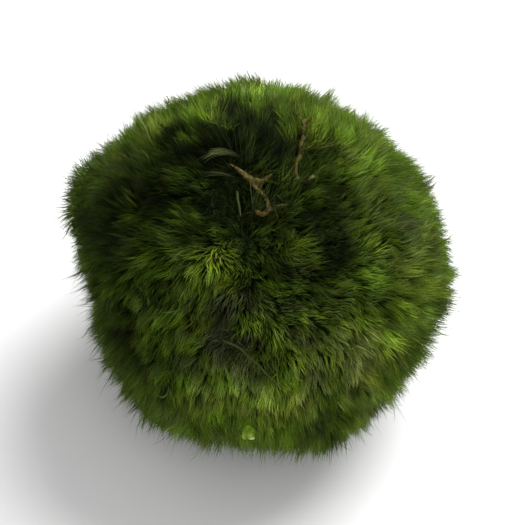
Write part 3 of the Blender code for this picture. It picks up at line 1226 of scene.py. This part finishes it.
class MOSS_OT_leaf(bpy.types.Operator):
    """Make the tiny leaf from its three domed lobes"""

    bl_idname = "moss.leaf"
    bl_label = "Leaf"

    def execute(self, context):
        low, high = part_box("lime_leaf")
        middle = (low + high) / 2
        outward = (middle - BALL_MIDDLE).normalized()
        downhill = (outward * UP.dot(outward) - UP).normalized()
        middle += (downhill * LEAF_SLIP - outward * SCRAP_SINK["lime_leaf"]) * MM
        lying = Matrix.Rotation(-LEAF_LEAN, 3, ACROSS)
        up, toward = lying @ UP, lying @ TOWARD
        bm = bmesh.new()
        for (across, above), wide, tall, turn, tilt, cup in LEAF_LOBES:
            made = bmesh.ops.create_uvsphere(
                bm, u_segments=LEAF_SEGMENTS, v_segments=LEAF_RINGS, radius=1.0
            )["verts"]
            place = middle + (ACROSS * across + up * above) * MM
            for vert in made:
                x, y, z = vert.co
                crease = LEAF_CREASE_DEPTH * math.exp(-((x / LEAF_CREASE_WIDTH) ** 2))
                bowl = cup * (x * x + y * y) - crease
                narrowed = wide * (1 - LEAF_NARROWING * y)
                flat = Vector((x * narrowed, y * tall, z * LEAF_THICKNESS + bowl * wide))
                flat.rotate(Matrix.Rotation(turn, 3, "Z"))
                flat.rotate(Matrix.Rotation(tilt, 3, "Y"))
                vert.co = place + (ACROSS * flat.x + up * flat.y + toward * flat.z) * MM
        bm.normal_update()
        for vert in bm.verts:
            vert.co += vert.normal * noise.fractal(vert.co / LEAF_GRAIN, 0.9, 2.0, 2) * LEAF_ROUGHNESS
        bmesh.ops.triangulate(bm, faces=bm.faces[:])
        material = leaf_material(context.scene.moss_colours, middle)
        add_piece("lime_leaf_lobes", finished_mesh("lime_leaf_lobes", bm), material, ["lime_leaf"])
        return {"FINISHED"}


def add_light(name, power, width, offset):
    """A round area light at this place from the ball's middle, turned to it."""
    data = bpy.data.lights.new(name, "AREA")
    data.energy = power
    data.shape = "DISK"
    data.size = width
    obj = bpy.data.objects.new(name, data)
    obj.location = BALL_MIDDLE + offset
    obj.rotation_euler = (-offset).to_track_quat("-Z", "Y").to_euler()
    bpy.context.scene.collection.objects.link(obj)


class MOSS_OT_stage(bpy.types.Operator):
    """Set up the floor, the lights and the camera"""

    bl_idname = "moss.stage"
    bl_label = "Stage"

    def execute(self, context):
        scene = context.scene
        stage = scene.moss_stage
        self.floor(stage)
        self.lights(scene, stage)
        self.camera(scene, stage)
        scene.view_settings.view_transform = "Standard"
        scene.view_settings.look = "None"
        return {"FINISHED"}

    def floor(self, stage):
        bm = bmesh.new()
        bmesh.ops.create_grid(bm, x_segments=1, y_segments=1, size=stage.floor_size / 2)
        mesh = finished_mesh("floor", bm)
        recipe = Recipe("studio_floor")
        tone = recipe.speckle(FLOOR_CLOUD, 2.0)
        colour = recipe.mix(recipe.ramp(tone, 0.2, 0.8), *FLOOR_TONES)
        mesh.materials.append(recipe.finish(colour, 0.7, 0.2))
        floor = bpy.data.objects.new("floor", mesh)
        bpy.context.scene.collection.objects.link(floor)

    def lights(self, scene, stage):
        add_light("key", stage.key_power, KEY_WIDTH, KEY_PLACE)
        add_light("fill", stage.fill_power, FILL_WIDTH, FILL_PLACE)
        world = bpy.data.worlds.new("studio")
        world.use_nodes = True
        backdrop = world.node_tree.nodes["Background"]
        backdrop.inputs["Color"].default_value = (1.0, 1.0, 1.0, 1.0)
        backdrop.inputs["Strength"].default_value = stage.sky
        scene.world = world

    def camera(self, scene, stage):
        data = bpy.data.cameras.new("camera")
        view_width = BALL_WIDTH / stage.frame_share
        data.lens = data.sensor_width * stage.camera_distance / view_width
        data.clip_start = 0.01
        data.clip_end = 10.0
        camera = bpy.data.objects.new("camera", data)
        camera.location = BALL_MIDDLE + TOWARD * stage.camera_distance
        camera.rotation_euler = (-TOWARD).to_track_quat("-Z", "Y").to_euler()
        scene.collection.objects.link(camera)
        scene.camera = camera


class MOSS_PT_panel(bpy.types.Panel):
    """The steps in order, and their settings"""

    bl_idname = "MOSS_PT_panel"
    bl_label = "Moss ball"
    bl_space_type = "VIEW_3D"
    bl_region_type = "UI"
    bl_category = "Moss ball"

    def draw(self, context):
        for step in STEPS:
            self.layout.operator(step.bl_idname)
        for settings in (context.scene.moss_fur, context.scene.moss_colours, context.scene.moss_stage):
            for name in settings.__annotations__:
                self.layout.prop(settings, name)


STEPS = (MOSS_OT_felt, MOSS_OT_coat, MOSS_OT_rootlets, MOSS_OT_straws, MOSS_OT_leaf, MOSS_OT_stage)
CLASSES = (MossFurSettings, MossColourSettings, MossStageSettings, *STEPS, MOSS_PT_panel)


def register():
    for each in CLASSES:
        bpy.utils.register_class(each)
    bpy.types.Scene.moss_fur = PointerProperty(type=MossFurSettings)
    bpy.types.Scene.moss_colours = PointerProperty(type=MossColourSettings)
    bpy.types.Scene.moss_stage = PointerProperty(type=MossStageSettings)


def unregister():
    del bpy.types.Scene.moss_stage
    del bpy.types.Scene.moss_colours
    del bpy.types.Scene.moss_fur
    for each in reversed(CLASSES):
        bpy.utils.unregister_class(each)


def main():
    """Makes the ball and its studio step by step."""
    register()
    bpy.ops.moss.felt()
    bpy.ops.moss.coat()
    bpy.ops.moss.rootlets()
    bpy.ops.moss.straws()
    bpy.ops.moss.leaf()
    bpy.ops.moss.stage()


if __name__ == "__main__":
    main()
